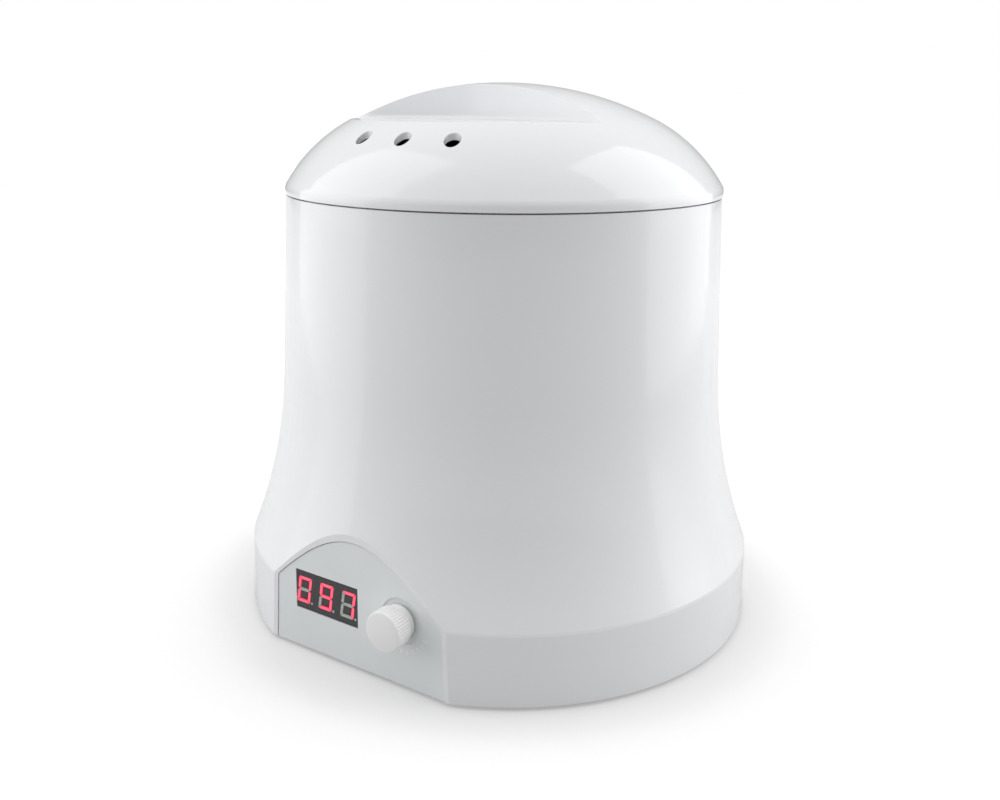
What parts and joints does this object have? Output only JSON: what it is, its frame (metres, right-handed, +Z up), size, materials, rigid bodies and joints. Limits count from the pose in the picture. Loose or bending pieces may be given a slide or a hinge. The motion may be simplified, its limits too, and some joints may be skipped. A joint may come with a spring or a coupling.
{
  "type": "wax warmer",
  "caption": "Round bell-shaped tabletop wax warmer with a lift-off domed lid, a removable pot with a bail handle, a front panel with a digital display and a knob.",
  "frame": {"origin": "on the table under the feet, on the upright axis of the round body", "axes": "+Z up along the axis of the body, -Y towards the flat front with the display and knob, +X to the right of someone facing that front"},
  "size_m": [0.21, 0.2121, 0.2127],
  "materials": {
    "white_abs": "polished injection-moulded ABS",
    "panel_grey": "fine matt grey moulding",
    "knob_white": "satin off-white moulding",
    "black_plastic": "smooth black moulding",
    "lit_segment": "glowing red diffuser",
    "unlit_segment": "dark pale-grey diffuser",
    "tinned_steel": "tinned wire",
    "circuit_board": "green glass-epoxy laminate",
    "zinc_steel": "bright zinc plating",
    "foot_rubber": "matt rubber",
    "brass": "bright nickelless brass",
    "aluminium": "spun and brushed",
    "cast_aluminium": "die-cast",
    "stainless": "brushed stainless",
    "collar_plastic": "heat-resistant moulding",
    "glass_felt": "needled glass felt",
    "fuse_case": "lacquered metal case",
    "grip_black": "phenolic moulding",
    "core_iron": "varnished steel laminations",
    "coil_copper": "enamelled copper winding",
    "relay_blue": "smooth moulded case",
    "capacitor_sleeve": "shrunk plastic sleeve",
    "terminal_green": "moulded terminal body",
    "lead_glass": "braided glass sleeving",
    "lead_brown": "flexible insulation",
    "lead_white": "silicone insulation",
    "cable_grey": "flexible sheath"
  },
  "bodies": {
    "base": {"housing": "white_abs", "base_plate": "white_abs", "control_panel": "panel_grey", "display_module": "black_plastic", "lit_segments": "lit_segment", "unlit_segments": "unlit_segment", "display_pins": "tinned_steel", "control_board": "circuit_board", "power_board": "circuit_board", "base_screws": "zinc_steel", "panel_screws": "zinc_steel", "board_screws": "zinc_steel", "flange_screws": "zinc_steel", "clip_screws": "zinc_steel", "power_board_screws": "zinc_steel", "band_screw": "zinc_steel", "band_nut": "zinc_steel", "rubber_feet": "foot_rubber", "potentiometer": "zinc_steel", "potentiometer_nut": "zinc_steel", "rim_collar": "collar_plastic", "heating_well": "cast_aluminium", "heating_band": "stainless", "heater_terminals": "brass", "insulation_sleeve": "glass_felt", "temperature_sensor": "stainless", "thermal_fuse": "fuse_case", "retaining_clips": "stainless", "power_inlet": "black_plastic", "inlet_pins": "brass", "transformer_core": "core_iron", "transformer_coil": "coil_copper", "relay": "relay_blue", "supply_capacitor": "capacitor_sleeve", "terminal_block": "terminal_green", "heater_leads": "lead_glass", "mains_leads": "lead_brown", "sensor_lead": "lead_white", "signal_cable": "cable_grey"},
    "lid": {"lid": "white_abs"},
    "pot": {"pot": "aluminium", "pot_ears": "stainless", "ear_rivets": "aluminium"},
    "handle": {"pot_handle": "stainless", "handle_grip": "grip_black"},
    "knob": {"knob": "knob_white", "potentiometer_shaft": "aluminium"}
  },
  "joints": [
    {"name": "lid_lift", "type": "slide", "parent": "base", "child": "lid", "axis": [0, 0, 1], "range_m": [0, 0.25]},
    {"name": "pot_lift", "type": "slide", "parent": "base", "child": "pot", "axis": [0, 0, 1], "range_m": [0, 0.125]},
    {"name": "handle_turn", "type": "hinge", "parent": "pot", "child": "handle", "pos_m": [0, 0, 0.1732], "axis": [1, 0, 0], "range_deg": [0, 90]},
    {"name": "knob_turn", "type": "hinge", "parent": "base", "child": "knob", "pos_m": [0.0208, -0.096, 0.0265], "axis": [0, -1, 0], "range_deg": [-30, 240]}
  ],
  "couplings": [
    {"joint": "pot_lift", "follows": "lid_lift", "ratio": 0.5},
    {"joint": "handle_turn", "follows": "lid_lift", "rad_per_m": 6.28}
  ]
}
